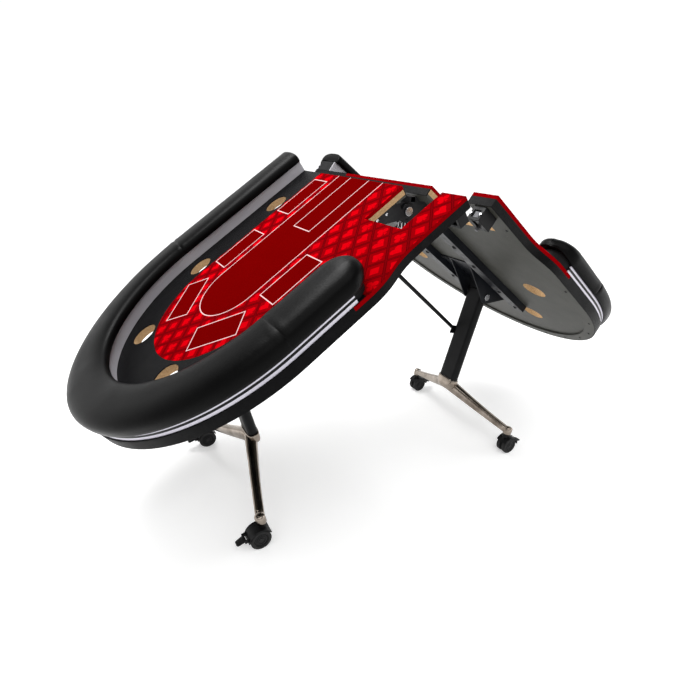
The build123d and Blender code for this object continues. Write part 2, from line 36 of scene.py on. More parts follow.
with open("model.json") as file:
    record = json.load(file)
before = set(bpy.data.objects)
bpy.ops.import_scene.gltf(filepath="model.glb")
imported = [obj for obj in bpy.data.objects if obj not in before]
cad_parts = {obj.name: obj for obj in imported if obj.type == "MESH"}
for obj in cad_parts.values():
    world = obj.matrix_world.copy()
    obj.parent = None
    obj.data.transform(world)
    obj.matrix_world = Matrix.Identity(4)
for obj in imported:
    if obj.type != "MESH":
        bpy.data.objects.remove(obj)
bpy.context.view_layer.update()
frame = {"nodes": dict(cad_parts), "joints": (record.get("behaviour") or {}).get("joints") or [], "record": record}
NODES = frame["nodes"]
RECORD = frame["record"]


def found(items, name):
    return next(item for item in items if item["name"] == name)


MOUNTS = RECORD["physics"].get("mounts") or RECORD.get("mounts")
FACE = found(MOUNTS, "right_playing_face")
NORMAL = Vector(FACE["axis"]).normalized()
HINGE = Vector(found(frame["joints"], "right_fold")["pos_m"])
ALONG = Vector((NORMAL.z, 0, -NORMAL.x))
ORIGIN = HINGE + NORMAL * (Vector(FACE["pos_m"]) - HINGE).dot(NORMAL)
LEG = Vector(found(frame["joints"], "right_leg_fold")["pos_m"])
LEG_UP = Vector(found(frame["joints"], "right_near_swivel")["axis"]).normalized()
LEG_OUT = Vector((LEG_UP.z, 0, -LEG_UP.x))
SIDES = (("right", 1), ("left", -1))

# ---- Sizes taken over from the model ----
END_CENTRE = 0.625
RISER_TOP = 0.044
RISER_OUTER = 0.577
PAD_INNER = 0.441
PAD_OUTER = 0.595
PAD_MIDDLE = (PAD_INNER + PAD_OUTER) / 2
PAD_HALF = (PAD_OUTER - PAD_INNER) / 2
PAD_TOP = 0.089
PAD_LAP = 0.0262
RAIL_NOSE = 0.425
MATE_GAP = 0.0005
BASE_BOTTOM = -0.030
FRAME_BOTTOM = -0.038
BEAM_BOTTOM = -0.060
COLUMN_LONG = 0.430
FOOT_DROP = 0.116
FOOT_OUT = 0.120
FOOT_SPREAD = 0.336


def at(side, u, v, n=0.0):
    """A point on a half, in metres of the shared frame."""
    p = ORIGIN + ALONG * u + NORMAL * n
    return Vector((side * p.x, v, p.z))


def on_leg(side, x, y, z):
    """A point on a leg, measured from its pivot: outward, across and up."""
    p = LEG + LEG_OUT * x + LEG_UP * z
    return Vector((side * p.x, y, p.z))


# ---------------------------------------------------------------- shader helpers

class Value:
    """A shader number that can be written as arithmetic."""

    def __init__(self, tree, socket):
        self.tree = tree
        self.socket = socket

    def apply(self, operation, *others, clamp=False):
        return calculate(self.tree, operation, self, *others, clamp=clamp)

    def __add__(self, other):
        return self.apply("ADD", other)

    def __sub__(self, other):
        return self.apply("SUBTRACT", other)

    def __mul__(self, other):
        return self.apply("MULTIPLY", other)

    def __truediv__(self, other):
        return self.apply("DIVIDE", other)

    def __rsub__(self, other):
        return calculate(self.tree, "SUBTRACT", other, self)

    __radd__ = __add__
    __rmul__ = __mul__

    def __abs__(self):
        return self.apply("ABSOLUTE")

    def least(self, other):
        return self.apply("MINIMUM", other)

    def most(self, other):
        return self.apply("MAXIMUM", other)

    def rounded(self):
        return (self + 0.5).apply("FLOOR")

    def odd(self):
        """1 for an odd whole number, 0 for an even one."""
        return abs(self - (self * 0.5).apply("FLOOR") * 2)

    def length(self, other):
        return (self * self + other * other).apply("SQRT")


def calculate(tree, operation, *values, clamp=False):
    node = tree.nodes.new("ShaderNodeMath")
    node.operation = operation
    node.use_clamp = clamp
    for socket, value in zip(node.inputs, values):
        if isinstance(value, Value):
            tree.links.new(value.socket, socket)
        else:
            socket.default_value = value
    return Value(tree, node.outputs[0])


class Finish:
    """A procedural material with its Principled shader."""

    def __init__(self, name, rough=0.5, metal=0.0, specular=0.5):
        self.material = bpy.data.materials.new(name)
        self.material.use_nodes = True
        self.tree = self.material.node_tree
        self.shader = self.tree.nodes["Principled BSDF"]
        self.put("Roughness", rough)
        self.put("Metallic", metal)
        self.put("Specular IOR Level", specular)
        place = self.tree.nodes.new("ShaderNodeTexCoord")
        self.place = place.outputs["Object"]
        self.facing = place.outputs["Normal"]

    def put(self, name, value):
        socket = self.shader.inputs[name]
        if isinstance(value, Value):
            self.tree.links.new(value.socket, socket)
        elif isinstance(value, bpy.types.NodeSocket):
            self.tree.links.new(value, socket)
        else:
            socket.default_value = value

    def parts(self, vector):
        node = self.tree.nodes.new("ShaderNodeSeparateXYZ")
        self.tree.links.new(vector, node.inputs[0])
        return [Value(self.tree, socket) for socket in node.outputs]

    def noise(self, scale, detail=3.0, rough=0.55, stretch=None):
        node = self.tree.nodes.new("ShaderNodeTexNoise")
        node.inputs["Scale"].default_value = scale
        node.inputs["Detail"].default_value = detail
        node.inputs["Roughness"].default_value = rough
        vector = self.place
        if stretch:
            mapping = self.tree.nodes.new("ShaderNodeMapping")
            mapping.inputs["Scale"].default_value = stretch
            self.tree.links.new(vector, mapping.inputs["Vector"])
            vector = mapping.outputs[0]
        self.tree.links.new(vector, node.inputs["Vector"])
        return Value(self.tree, node.outputs[0])

    def cells(self, scale, feature="F1"):
        node = self.tree.nodes.new("ShaderNodeTexVoronoi")
        node.feature = feature
        node.inputs["Scale"].default_value = scale
        self.tree.links.new(self.place, node.inputs["Vector"])
        return Value(self.tree, node.outputs["Distance"])

    def spread(self, value, low, high, to_low=0.0, to_high=1.0):
        node = self.tree.nodes.new("ShaderNodeMapRange")
        self.tree.links.new(value.socket, node.inputs["Value"])
        for name, number in (("From Min", low), ("From Max", high), ("To Min", to_low), ("To Max", to_high)):
            node.inputs[name].default_value = number
        return Value(self.tree, node.outputs[0])

    def mix(self, mask, under, over):
        """One colour over another where the mask is 1."""
        node = self.tree.nodes.new("ShaderNodeMix")
        node.data_type = "RGBA"
        self.tree.links.new(mask.socket, node.inputs[0])
        for socket, colour in ((node.inputs[6], under), (node.inputs[7], over)):
            if isinstance(colour, bpy.types.NodeSocket):
                self.tree.links.new(colour, socket)
            else:
                socket.default_value = (*colour, 1)
        return node.outputs[2]

    def bump(self, height, depth):
        """Surface relief of that depth in metres."""
        node = self.tree.nodes.new("ShaderNodeBump")
        node.inputs["Strength"].default_value = 1.0
        node.inputs["Distance"].default_value = depth
        self.tree.links.new(height.socket, node.inputs["Height"])
        self.put("Normal", node.outputs[0])


def inside(distance, soft=0.0006):
    """1 inside a shape given by its distance, 0 outside."""
    return (0.5 - distance / soft).apply("ADD", 0.0, clamp=True)


# ---------------------------------------------------------------- materials

def half_coordinates(finish):
    """u, v and n on either half, from the rest position."""
    x, y, z = finish.parts(finish.place)
    x = abs(x)
    u = x * ALONG.x + z * ALONG.z - ORIGIN.dot(ALONG)
    n = x * NORMAL.x + z * NORMAL.z - ORIGIN.dot(NORMAL)
    return u, y, n


CELL = 0.0425               # spacing of the printed card suits
LATTICE_U = 0.240
LATTICE_V = -0.183
LINE = 0.0018               # half width of a printed line
BET_CENTRE = 0.5839
BET_RADIUS = 0.1496
BOARD_HALF = 0.0619         # community-card rectangle
BOARD_END = 0.2843
BOX_MIDDLE = 0.23835
BOX_HALF = 0.05165
INNER_BOX = (0.14385, 0.10095)
OUTER_BOX = (0.4653, 0.098)
SLANT_BOX = (0.7385, 0.1763, 0.0981, 0.0508, 42.87)     # u, v, half sizes, degrees
THREAD_TURN = 5200.0        # radians of the weave in a metre


def heart(x, y):
    lobes = (abs(x) - 0.0100).length(y - 0.0070) - 0.0105
    wedge = (abs(x) * 1.18 - (y + 0.0185)).most(y - 0.0085)
    return lobes.least(wedge)


def stem(x, y):
    return (abs(x) - 0.0010 + (y + 0.0080) * 0.45).most(abs(y + 0.0130) - 0.0060)


def spade(x, y):
    lobes = (abs(x) - 0.0095).length(y + 0.0035) - 0.0098
    wedge = (abs(x) * 1.15 + (y - 0.0190)).most(-0.0060 - y)
    return lobes.least(wedge).least(stem(x, y))


def club(x, y):
    top = x.length(y - 0.0095) - 0.0092
    sides = (abs(x) - 0.0112).length(y + 0.0040) - 0.0092
    middle = x.length(y) - 0.0060
    return top.least(sides).least(middle).least(stem(x, y))


def diamond(x, y):
    return abs(x) * 0.90 + abs(y) * 0.95 - 0.0172


def lattice(u, v):
    """Distance to the suit printed in each diamond-shaped cell, and to the bands between them."""
    a = ((u - LATTICE_U) + (v - LATTICE_V)) / (2 * CELL)
    b = ((u - LATTICE_U) - (v - LATTICE_V)) / (2 * CELL)
    column = a.rounded()
    row = b.rounded()
    a = a - column
    b = b - row
    x = (a + b) * CELL
    y = (a - b) * CELL
    odd_row = (column - row).odd()
    across = ((column + row - odd_row) * 0.5).odd()
    red_suit = heart(x, y) * (1 - across) + diamond(x, y) * across
    black_suit = spade(x, y) * (1 - across) + club(x, y) * across
    suit = red_suit * (1 - odd_row) + black_suit * odd_row
    band = (0.5 - abs(a).most(abs(b))) * (2 * CELL * math.sqrt(0.5))
    return suit, band


def printed_areas(u, v):
    """Distances to the outlines printed on the cloth, negative inside."""
    past_end = (u - BET_CENTRE).most(0.0)
    betting = past_end.length(v) - BET_RADIUS
    board = (abs(v) - BOARD_HALF).most(u - BOARD_END)
    across = abs(abs(v) - BOX_MIDDLE) - BOX_HALF
    far_across = abs(v - BOX_MIDDLE) - BOX_HALF
    inner = (abs(u - INNER_BOX[0]) - INNER_BOX[1]).most(far_across)
    outer = (abs(u - OUTER_BOX[0]) - OUTER_BOX[1]).most(across)
    slant = math.radians(SLANT_BOX[4])
    du = u - SLANT_BOX[0]
    dv = abs(v) - SLANT_BOX[1]
    long_way = abs(du * math.cos(slant) - dv * math.sin(slant)) - SLANT_BOX[2]
    short_way = abs(du * math.sin(slant) + dv * math.cos(slant)) - SLANT_BOX[3]
    return betting, board, inner, outer, long_way.most(short_way)


def cloth_finish():
    f = Finish("printed_speed_cloth", rough=0.90, specular=0.0)
    u, v, n = half_coordinates(f)
    suit, band = lattice(u, v)
    betting, board, inner, outer, slant = printed_areas(u, v)
    cell = f.mix(inside(suit, 0.0012), (0.235, 0.0, 0.0018), (0.560, 0.0, 0.0035))
    colour = f.mix(inside(band - 0.0046, 0.0014), cell, (0.080, 0.0, 0.0010))
    colour = f.mix(inside(abs(band - 0.0011) - 0.0007), colour, (0.190, 0.001, 0.003))
    solid = inside(betting.least(inner).least(outer).least(slant))
    colour = f.mix(solid, colour, (0.118, 0.0, 0.0))
    lines = abs(betting).least(abs(board)).least(abs(inner)).least(abs(outer)).least(abs(slant))
    colour = f.mix(inside(lines - LINE), colour, (0.800, 0.560, 0.560))
    colour = f.mix(inside(n + 0.0015), colour, (0.210, 0.0, 0.0015))
    shade = f.spread(f.noise(9.0, 2.0), 0.3, 0.7, 0.0, 0.10)
    colour = f.mix(shade, colour, (0.060, 0.0, 0.0))
    fluff = f.spread(f.noise(1400.0, 2.0), 0.35, 0.75, 0.0, 0.16)
    colour = f.mix(fluff, colour, (0.300, 0.004, 0.006))
    f.put("Base Color", colour)
    threads = (u * THREAD_TURN).apply("SINE") * (v * THREAD_TURN).apply("SINE")
    f.bump(threads * 0.5 + f.noise(900.0, 2.0), 0.00025)
    return f.material


def vinyl_finish(name, light=(0.0040, 0.0040, 0.0046), rough=0.44):
    """Black upholstery vinyl with a fine pebbled grain."""
    f = Finish(name, specular=0.05)
    grain = f.cells(620.0)
    patch = f.noise(14.0, 4.0)
    dust = f.spread(f.noise(55.0, 5.0, 0.7), 0.48, 0.85, 0.0, 0.30)
    dark = tuple(c * 0.45 for c in light)
    colour = f.mix(f.spread(patch, 0.3, 0.7), dark, light)
    f.put("Base Color", f.mix(dust, colour, (0.013, 0.013, 0.014)))
    f.put("Roughness", f.spread(patch, 0.3, 0.7, rough - 0.06, rough + 0.08))
    f.bump(grain + f.noise(90.0, 3.0) * 0.5, 0.00035)
    return f.material


def leather_finish():
    """Soft black padded leather: pebble grain, fine creases and a satin sheen."""
    f = Finish("rail_leather", specular=0.055)
    pebble = f.cells(430.0, "SMOOTH_F1")
    crease = f.cells(95.0, "DISTANCE_TO_EDGE")
    folds = f.spread(crease, 0.0, 0.10)
    patch = f.noise(7.0, 4.0)
    colour = f.mix(f.spread(patch, 0.3, 0.7), (0.0007, 0.0007, 0.0008), (0.0016, 0.0016, 0.0016))
    worn = f.spread(f.noise(38.0, 5.0, 0.7), 0.55, 0.9, 0.0, 0.30)
    f.put("Base Color", f.mix(worn, colour, (0.0045, 0.0043, 0.0043)))
    f.put("Roughness", f.spread(patch, 0.3, 0.7, 0.30, 0.40))
    f.bump(pebble * 0.8 + folds * 0.4 + f.noise(28.0, 3.0) * 0.8, 0.00022)
    return f.material


UNDERSIDE_FACING = -0.7     # faces that look down by more than this are laminated
EVERY_FACING = 2.0


def board_finish(name, cut_edges=True):
    """Fibreboard: raw speckled tan on its cut edges, a dark grey laminate underneath."""
    f = Finish(name, specular=0.12)
    speck = f.spread(f.noise(420.0, 4.0, 0.75), 0.38, 0.66)
    streak = f.spread(f.noise(60.0, 4.0, 0.6, stretch=(1.0, 1.0, 5.0)), 0.3, 0.7)
    raw = f.mix(speck, (0.330, 0.190, 0.085), (0.610, 0.430, 0.240))
    raw = f.mix(streak * 0.35, raw, (0.260, 0.150, 0.070))
    cloud = f.spread(f.noise(6.0, 5.0, 0.6), 0.3, 0.7)
    laminate = f.mix(cloud, (0.034, 0.034, 0.029), (0.056, 0.056, 0.049))
    scuff = f.spread(f.noise(120.0, 6.0, 0.75, stretch=(1.0, 6.0, 1.0)), 0.62, 0.80, 0.0, 0.45)
    laminate = f.mix(scuff, laminate, (0.105, 0.104, 0.095))
    x, y, z = f.parts(f.facing)
    px, py, pz = f.parts(f.place)
    below = (x * px.apply("SIGN")) * NORMAL.x + z * NORMAL.z
    limit = UNDERSIDE_FACING if cut_edges else EVERY_FACING
    flat = (limit - below).apply("GREATER_THAN", 0.0)
    f.put("Base Color", f.mix(flat, raw, laminate))
    f.put("Roughness", flat * -0.36 + 0.86)
    f.bump(speck * (1.0 - flat) + f.noise(300.0, 2.0) * 0.3, 0.0005)
    return f.material


def painted_finish():
    f = Finish("painted_board", specular=0.08)
    tone = f.spread(f.noise(18.0, 4.0), 0.3, 0.7)
    f.put("Base Color", f.mix(tone, (0.006, 0.006, 0.006), (0.014, 0.014, 0.015)))
    f.put("Roughness", f.spread(f.noise(60.0), 0.3, 0.7, 0.45, 0.62))
    f.bump(f.noise(420.0, 3.0), 0.0003)
    return f.material


RIB_RADIUS = 0.46           # the ribs are spaced evenly at this radius round the bend
RIB_TURN = 1150.0           # radians of the rib wave in a metre


def diffuser_finish(name, low, high, rough):
    """Moulded light cover with fine ribs across it."""
    f = Finish(name, specular=0.45)
    u, v, n = half_coordinates(f)
    around = v.apply("ARCTAN2", u - END_CENTRE) * RIB_RADIUS
    straight = inside(u - END_CENTRE, 0.001)
    run = around * (1 - straight) + u * straight
    ribs = (run * RIB_TURN).apply("SINE") * 0.5 + (n * RIB_TURN).apply("SINE") * 0.5
    tone = f.spread(f.noise(3.0, 3.0), 0.3, 0.7)
    colour = f.mix(tone, low, high)
    colour = f.mix((ribs * 0.10 + 0.10).apply("ADD", 0.0, clamp=True), colour, tuple(c * 0.55 for c in low))
    f.put("Base Color", colour)
    f.put("Roughness", f.spread(f.noise(45.0), 0.3, 0.7, rough - 0.05, rough + 0.08))
    f.put("Subsurface Weight", 0.08)
    f.put("Subsurface Radius", (0.004, 0.004, 0.004))
    f.bump(ribs, 0.00035)
    return f.material


def plastic_finish():
    f = Finish("black_nylon", specular=0.13)
    tone = f.spread(f.noise(25.0, 4.0), 0.3, 0.7)
    colour = f.mix(tone, (0.0030, 0.0030, 0.0034), (0.0070, 0.0070, 0.0075))
    dust = f.spread(f.noise(160.0, 5.0, 0.75), 0.58, 0.85, 0.0, 0.35)
    f.put("Base Color", f.mix(dust, colour, (0.030, 0.029, 0.028)))
    f.put("Roughness", f.spread(f.noise(70.0), 0.3, 0.7, 0.32, 0.48))
    f.bump(f.noise(800.0, 2.0), 0.0002)
    return f.material


def rubber_finish():
    f = Finish("tread_rubber", specular=0.25)
    tone = f.spread(f.noise(40.0, 5.0, 0.7), 0.35, 0.75)
    f.put("Base Color", f.mix(tone, (0.0045, 0.0045, 0.0050), (0.018, 0.0175, 0.017)))
    f.put("Roughness", f.spread(f.noise(90.0), 0.3, 0.7, 0.55, 0.78))
    f.bump(f.noise(500.0, 3.0), 0.0004)
    return f.material


def coated_finish(name, low, high, rough, relief=0.0002):
    """Powder-coated steel: faint orange peel and rubbed places."""
    f = Finish(name, metal=0.0, specular=0.12)
    tone = f.spread(f.noise(12.0, 4.0), 0.3, 0.7)
    colour = f.mix(tone, low, high)
    rubbed = f.spread(f.noise(85.0, 6.0, 0.75, stretch=(1.0, 4.0, 1.0)), 0.66, 0.84, 0.0, 0.4)
    f.put("Base Color", f.mix(rubbed, colour, tuple(c * 3.0 + 0.006 for c in high)))
    f.put("Roughness", f.spread(f.noise(50.0, 3.0), 0.3, 0.7, rough - 0.06, rough + 0.10))
    f.bump(f.noise(380.0, 2.0), relief)
    return f.material


def plated_finish(name, low, high, rough, smear=0.10):
    """Plated or polished metal with faint smears."""
    f = Finish(name, metal=1.0)
    tone = f.spread(f.noise(20.0, 5.0, 0.6), 0.3, 0.7)
    f.put("Base Color", f.mix(tone, low, high))
    f.put("Roughness", f.spread(f.noise(32.0, 5.0, 0.65), 0.3, 0.75, rough, rough + smear))
    f.bump(f.noise(240.0, 2.0), 0.00008)
    return f.material


CLOTH = cloth_finish()
VINYL = vinyl_finish("racetrack_vinyl")
BAND = vinyl_finish("edge_vinyl", (0.0022, 0.0022, 0.0025), 0.45)
LEATHER = leather_finish()
BOARD = board_finish("fibreboard")
LAMINATE = board_finish("laminate", cut_edges=False)
PAINT = painted_finish()
GREY_LIGHT = diffuser_finish("inner_diffuser", (0.360, 0.350, 0.375), (0.470, 0.460, 0.490), 0.40)
WHITE_LIGHT = diffuser_finish("outer_diffuser", (0.560, 0.540, 0.620), (0.740, 0.720, 0.800), 0.36)
PLASTIC = plastic_finish()
RUBBER = rubber_finish()
COLUMN_COAT = coated_finish("column_coat", (0.0030, 0.0030, 0.0035), (0.0065, 0.0065, 0.0070), 0.40)
BEAM_COAT = coated_finish("beam_coat", (0.0050, 0.0055, 0.0070), (0.0100, 0.0110, 0.0140), 0.38)
HINGE_COAT = coated_finish("hinge_coat", (0.010, 0.010, 0.011), (0.026, 0.026, 0.027), 0.38, 0.0003)
CHROME = plated_finish("bright_plate", (0.55, 0.55, 0.57), (0.80, 0.80, 0.82), 0.14)
FOOT_METAL = plated_finish("polished_alloy", (0.165, 0.135, 0.108), (0.370, 0.320, 0.275), 0.08, 0.12)
DARK_ZINC = plated_finish("dark_zinc", (0.030, 0.030, 0.032), (0.075, 0.075, 0.080), 0.30, 0.12)

NODE_FINISHES = {
    "under_frame": LAMINATE, "base_board": BOARD, "playfield_board": BOARD, "playing_cloth": CLOTH,
    "racetrack": VINYL, "edge_band": BAND, "riser": PAINT, "inner_light": GREY_LIGHT,
    "outer_lights": WHITE_LIGHT, "outer_dark_strip": PLASTIC, "rail_pad": LEATHER,
    "hinge_leaves": HINGE_COAT, "beams": BEAM_COAT, "leg_bracket": BEAM_COAT, "leg_pin": CHROME,
    "strut_lug": BEAM_COAT, "column": COLUMN_COAT, "foot": FOOT_METAL, "knuckle": COLUMN_COAT,
    "strut": COLUMN_COAT, "caster_housing": PLASTIC, "caster_wheels": RUBBER, "brake_pedal": PLASTIC,
    "hinge_spine": HINGE_COAT, "hinge_discs": HINGE_COAT, "hinge_pins": CHROME, "hinge_hooks": CHROME,
    "latch_case": COLUMN_COAT, "latch_bolt": DARK_ZINC, "latch_keeper": COLUMN_COAT, "latch_screws": CHROME,
}
SOFT_EDGES = {
    "under_frame": 0.0010, "base_board": 0.0004, "playfield_board": 0.0004, "racetrack": 0.0007,
    "edge_band": 0.0007, "riser": 0.0010, "inner_light": 0.0010, "outer_lights": 0.0008,
    "outer_dark_strip": 0.0006, "beams": 0.0020, "column": 0.0015, "caster_housing": 0.0012,
    "brake_pedal": 0.0014, "latch_case": 0.0016, "latch_keeper": 0.0016, "hinge_spine": 0.0014,
}


def kind_of(name):
    for word in ("left_", "right_", "near_", "far_"):
        name = name.removeprefix(word)
    return name


WELD_DISTANCE = 0.00002
FLAT_ANGLE = math.radians(1.0)
SHARP_ANGLE = math.radians(35)


def soften(obj, width):
    """Rounds the sharp edges of a CAD piece with modifiers."""
    weld = obj.modifiers.new("weld", "WELD")
    weld.merge_threshold = WELD_DISTANCE
    flat = obj.modifiers.new("flat", "DECIMATE")
    flat.decimate_type = "DISSOLVE"
    flat.angle_limit = FLAT_ANGLE
    bevel = obj.modifiers.new("bevel", "BEVEL")
    bevel.width = width
    bevel.segments = 2
    bevel.limit_method = "ANGLE"
    bevel.angle_limit = SHARP_ANGLE
    smooth = obj.modifiers.new("normals", "WEIGHTED_NORMAL")
    smooth.keep_sharp = True


for node_name, node in NODES.items():
    kind = kind_of(node_name)
    node.data.materials.clear()
    node.data.materials.append(NODE_FINISHES[kind])
    if kind not in ("playing_cloth", "rail_pad", "foot"):
        soften(node, SOFT_EDGES.get(kind, 0.0008))


# ---------------------------------------------------------------- mesh helpers

def piece(name, mesh_data, finish, body):
    """A new piece that rides on a body."""
    mesh = bpy.data.meshes.new(name)
    mesh_data.to_mesh(mesh)
    mesh_data.free()
    mesh.shade_smooth()
    obj = bpy.data.objects.new(name, mesh)
    bpy.context.scene.collection.objects.link(obj)
    mesh.materials.append(finish)
    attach(obj, body)
    return obj


def join_rings(bm, rings):
    """Skins a list of rings of points, with a flat face at both ends."""
    loops = [[bm.verts.new(p) for p in ring] for ring in rings]
    for first, second in zip(loops, loops[1:]):
        for i in range(len(first)):
            j = (i + 1) % len(first)
            bm.faces.new((first[i], first[j], second[j], second[i]))
    bm.faces.new(list(reversed(loops[0])))
    bm.faces.new(loops[-1])


def turn_out(bm):
    bmesh.ops.recalc_face_normals(bm, faces=bm.faces)


def lathe(bm, centre, axis, profile, steps=24):
    """Turns a profile of (radius, height) points about an axis from a point."""
    axis = axis.normalized()
    side = axis.orthogonal().normalized()
    other = axis.cross(side)
    rings = []
    for radius, height in profile:
        ring = []
        for k in range(steps):
            a = 2 * math.pi * k / steps
            ring.append(centre + axis * height + (side * math.cos(a) + other * math.sin(a)) * radius)
        rings.append(ring)
    join_rings(bm, rings)


# ---------------------------------------------------------------- rail pads

PAD_POINTS = 40
PAD_CROWN = 2.6             # power of the crowned section, 2 for an ellipse
PAD_INNER_EDGE = 0.057      # where the crown begins, above the playing surface
PAD_OUTER_EDGE = 0.052
PAD_GAP = 0.0004            # the pad stands this far off the riser
PAD_STEP = 0.007
NOSE_STEPS = 24
NOSE_TIP = 0.015            # share of the full width at the last ring
CUT_END = ((0.0004, 0.0060, 1.0), (0.0010, 0.0036, 1.0), (0.0024, 0.0016, 1.0), (0.0048, 0.0003, 1.0))
SEAM_RINGS = (0.0, 0.0014, 0.0028, 0.004, 0.006, 0.009)
SEAM_DEPTH = 0.0022
SEAM_HALF = 0.0028
SEAM_SWELL = 0.0011


def pad_section():
    """Places across the pad's top, from -1 at the inner edge to 1 at the outer edge."""
    places = []
    for k in range(PAD_POINTS + 1):
        c = math.cos(math.pi * (1 - k / PAD_POINTS))
        places.append(math.copysign(abs(c) ** (2 / PAD_CROWN), c))
    return places


def pad_ring(share, inset):
    """The pad's outline at a station, as (distance from the rail's middle, height, swell).

    share is 1 along the rail and falls to 0 at the tip of the nose.
    """
    reach = math.sqrt(max(0.0, 1 - share * share))
    ring = []
    for s in pad_section():
        rho = math.sqrt(reach * reach + s * s * share * share)
        top = max(0.0, 1 - rho ** PAD_CROWN) ** (1 / PAD_CROWN)
        edge = PAD_INNER_EDGE if s < 0 else PAD_OUTER_EDGE
        edge = edge - (1 - share) * 0.004
        ring.append((s * PAD_HALF * share, edge + (PAD_TOP - edge) * top, 1.0))
    lap = RISER_TOP - (RISER_TOP - PAD_LAP) * share ** 3
    outer = PAD_HALF * share
    face = (RISER_OUTER - PAD_MIDDLE + 0.0012) * share
    low = lap + 0.0035
    seat = RISER_TOP + PAD_GAP
    ring += [
        (outer - 0.0010 * share, (PAD_OUTER_EDGE + low) / 2, 0.6), (outer - 0.0030 * share, low + 0.002, 0.3),
        (outer - 0.0080 * share, lap, 0.0), ((outer + face) / 2 - 0.002 * share, lap - 0.0002, 0.0),
        (face + 0.0010 * share, lap + 0.0008, 0.0), (face, lap + 0.0030, 0.0),
        (face, seat, 0.0), (0.0, seat, 0.0),
        (-outer * 0.90, seat, 0.0), (-outer * 0.97, RISER_TOP + 0.0030, 0.3),
        (-outer * 0.995, RISER_TOP + 0.0080, 0.6),
    ]
    middle_n = (PAD_TOP + RISER_TOP) / 2
    keep = 1 - inset / PAD_HALF
    keep_n = 1 - inset / (PAD_TOP - middle_n)
    return [(r * keep, middle_n + (n - middle_n) * keep_n, swell) for r, n, swell in ring]


def pad_stations():
    """(place along the rail, inset, share) for each ring, with more of them at the seams."""
    far = END_CENTRE - MATE_GAP
    bend = math.pi * PAD_MIDDLE
    near = END_CENTRE - RAIL_NOSE
    total = far + bend + near
    seams = (far - 0.001, far + bend + 0.001)
    places = set()
    for k in range(int(total / PAD_STEP)):
        places.add(round(k * PAD_STEP + 0.012, 5))
    for seam in seams:
        for offset in SEAM_RINGS:
            places.add(round(seam - offset, 5))
            places.add(round(seam + offset, 5))
    rows = list(CUT_END)
    rows += [(place, 0.0, 1.0) for place in sorted(places) if place < total - 0.002]
    for k in range(1, NOSE_STEPS + 1):
        a = math.pi / 2 * k / NOSE_STEPS
        share = max(math.cos(a), NOSE_TIP)
        rows.append((total + PAD_HALF * math.sin(a), 0.0, share))
    return rows, seams, far, bend, total


def pad_place(place, r, far, bend):
    """Plan position of a point at r from the rail's middle line."""
    radius = PAD_MIDDLE + r
    if place <= far:
        return MATE_GAP + place, radius
    if place <= far + bend:
        a = math.pi / 2 - (place - far) / PAD_MIDDLE
        return END_CENTRE + radius * math.cos(a), radius * math.sin(a)
    return END_CENTRE - (place - far - bend), -radius


def pad_swell(place, seams, total, u, v, side):
    """How far the leather stands out from its plain shape, in metres."""
    out = 0.0
    for seam in seams:
        t = place - seam
        out -= SEAM_DEPTH * math.exp(-(t / SEAM_HALF) ** 2)
        out += SEAM_SWELL * math.exp(-((abs(t) - 0.014) / 0.007) ** 2)
        pucker = math.exp(-(t / 0.020) ** 2)
        out += 0.0006 * pucker * noise.noise(Vector((u * 60, v * 60, side * 3.0)))
    to_nose = max(0.0, 1 - abs(total + PAD_HALF - place) / 0.16)
    out += 0.0011 * to_nose * noise.noise(Vector((u * 38, v * 38, side * 7.0)))
    out += 0.0007 * noise.noise(Vector((u * 9, v * 9, side * 5.0)))
    return min(out, 0.0012)


def rail_pad(name, side):
    rows, seams, far, bend, total = pad_stations()
    rings = []
    for place, inset, share in rows:
        ring = []
        for r, n, weight in pad_ring(share, inset):
            u, v = pad_place(place, r, far, bend)
            swell = pad_swell(place, seams, total, u, v, side) * weight * share
            across = r / PAD_HALF
            lift = swell * (1 - min(1.0, abs(across)) ** 2)
            u, v = pad_place(place, r + swell * across, far, bend)
            ring.append(at(side, u, v, n + lift))
        rings.append(ring)
    bm = bmesh.new()
    join_rings(bm, rings)
    turn_out(bm)
    obj = piece(f"{name}_rail_leather", bm, LEATHER, f"{name}_half")
    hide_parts(f"{name}_rail_pad")


# ---------------------------------------------------------------- playing cloth

CLOTH_TURN = 0.0009         # rounding where the cloth turns over an edge


def stretched_cloth(name):
    """The cloth, pulled tight over the board and turned down over its edges."""
    bm = bmesh.new()
    bm.from_mesh(NODES[f"{name}_playing_cloth"].data)
    bmesh.ops.remove_doubles(bm, verts=bm.verts, dist=WELD_DISTANCE)
    bmesh.ops.dissolve_limit(bm, angle_limit=FLAT_ANGLE, verts=bm.verts, edges=bm.edges)
    sharp = [e for e in bm.edges if len(e.link_faces) == 2 and e.calc_face_angle() > SHARP_ANGLE]
    bmesh.ops.bevel(bm, geom=sharp, offset=CLOTH_TURN, segments=3, profile=0.5, affect="EDGES",
                    clamp_overlap=True)
    bmesh.ops.triangulate(bm, faces=bm.faces)
    turn_out(bm)
    area = sum(face.calc_area() for face in bm.faces) / 2
    obj = piece(f"{name}_cloth", bm, CLOTH, f"{name}_half")
    smooth = obj.modifiers.new("normals", "WEIGHTED_NORMAL")
    smooth.keep_sharp = True
    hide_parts(f"{name}_playing_cloth")


# ---------------------------------------------------------------- feet

def rounded_ring(centre, across, up, wide, deep, power=3.2, steps=28):
    """A rounded rectangle of points about a centre."""
    ring = []
    for k in range(steps):
        a = 2 * math.pi * k / steps
        c, s = math.cos(a), math.sin(a)
        x = math.copysign(abs(c) ** (2 / power), c) * wide
        y = math.copysign(abs(s) ** (2 / power), s) * deep
        ring.append(centre + across * x + up * y)
    return ring


ARM_STEPS = 24


